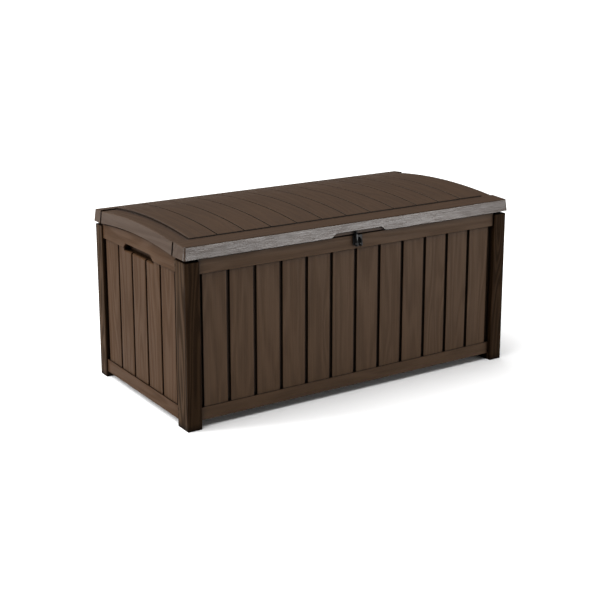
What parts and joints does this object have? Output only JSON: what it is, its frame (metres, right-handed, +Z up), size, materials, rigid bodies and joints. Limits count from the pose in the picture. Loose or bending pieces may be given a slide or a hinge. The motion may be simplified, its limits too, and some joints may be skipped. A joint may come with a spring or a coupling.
{
  "type": "deck storage box",
  "caption": "Outdoor resin deck storage box with slatted panels, corner posts and an arched lid that lifts on rear hinges with gas struts.",
  "frame": {"origin": "centre of the footprint, on the ground under the feet", "axes": "+Z up, +X along the length to the right seen from the front, -Y towards the front"},
  "size_m": [1.28, 0.657, 0.6099],
  "materials": {
    "panel_resin": "satin, embossed wood grain",
    "lid_resin": "satin, fine wood grain",
    "inner_resin": "matte moulded",
    "hinge_resin": "satin moulded",
    "pin_steel": "zinc plated",
    "strut_black": "gloss black",
    "rod_chrome": "polished",
    "socket_plastic": "satin black",
    "bracket_steel": "powder coated black",
    "lock_plastic": "satin black",
    "screw_steel": "zinc plated"
  },
  "bodies": {
    "box": {"floor_joint_strip": "inner_resin", "floor_left": "inner_resin", "floor_right": "inner_resin", "front_panel": "panel_resin", "hinge_base_1": "hinge_resin", "hinge_base_2": "hinge_resin", "hinge_base_3": "hinge_resin", "hinge_base_screws": "screw_steel", "hinge_pin_1": "pin_steel", "hinge_pin_2": "pin_steel", "hinge_pin_3": "pin_steel", "left_front_post": "panel_resin", "left_grip_back": "panel_resin", "left_grip_top": "panel_resin", "left_panel_bracket_screws": "screw_steel", "left_rail_front": "panel_resin", "left_rail_rear": "panel_resin", "left_rear_post": "panel_resin", "left_side_panel": "panel_resin", "left_strut_panel_bracket": "bracket_steel", "lock_bracket": "lock_plastic", "rear_panel": "panel_resin", "right_front_post": "panel_resin", "right_grip_back": "panel_resin", "right_grip_top": "panel_resin", "right_panel_bracket_screws": "screw_steel", "right_rail_front": "panel_resin", "right_rail_rear": "panel_resin", "right_rear_post": "panel_resin", "right_side_panel": "panel_resin", "right_strut_panel_bracket": "bracket_steel"},
    "lid": {"hinge_arm_1": "hinge_resin", "hinge_arm_2": "hinge_resin", "hinge_arm_3": "hinge_resin", "hinge_arm_screws": "screw_steel", "left_lid_bracket_screws": "screw_steel", "left_strut_lid_bracket": "bracket_steel", "lid_liner": "inner_resin", "lid_shell": "lid_resin", "liner_screws": "screw_steel", "lock_tongue": "lock_plastic", "right_lid_bracket_screws": "screw_steel", "right_strut_lid_bracket": "bracket_steel"},
    "left_tube": {"left_strut_gland": "socket_plastic", "left_strut_lower_socket": "socket_plastic", "left_strut_tube": "strut_black"},
    "left_rod": {"left_strut_rod": "rod_chrome", "left_strut_upper_socket": "socket_plastic", "left_strut_upper_stud": "bracket_steel"},
    "right_tube": {"right_strut_gland": "socket_plastic", "right_strut_lower_socket": "socket_plastic", "right_strut_tube": "strut_black"},
    "right_rod": {"right_strut_rod": "rod_chrome", "right_strut_upper_socket": "socket_plastic", "right_strut_upper_stud": "bracket_steel"}
  },
  "joints": [
    {"name": "lid_hinge", "type": "hinge", "parent": "box", "child": "lid", "pos_m": [0, 0.319, 0.5385], "axis": [-1, 0, 0], "range_deg": [0, 85]},
    {"name": "left_strut_tilt", "type": "hinge", "parent": "box", "child": "left_tube", "pos_m": [-0.588, 0.1, 0.395], "axis": [-1, 0, 0], "range_deg": [-3, 3]},
    {"name": "left_strut_slide", "type": "slide", "parent": "left_tube", "child": "left_rod", "axis": [0, 0.7424, 0.67], "range_m": [0, 0.078]},
    {"name": "right_strut_tilt", "type": "hinge", "parent": "box", "child": "right_tube", "pos_m": [0.588, 0.1, 0.395], "axis": [-1, 0, 0], "range_deg": [-3, 3]},
    {"name": "right_strut_slide", "type": "slide", "parent": "right_tube", "child": "right_rod", "axis": [0, 0.7424, 0.67], "range_m": [0, 0.078]}
  ],
  "couplings": [
    {"joint": "left_strut_tilt", "follows": "lid_hinge", "ratio": -0.00225},
    {"joint": "left_strut_slide", "follows": "lid_hinge", "m_per_rad": 0.050257},
    {"joint": "right_strut_tilt", "follows": "lid_hinge", "ratio": -0.00225},
    {"joint": "right_strut_slide", "follows": "lid_hinge", "m_per_rad": 0.050257}
  ]
}
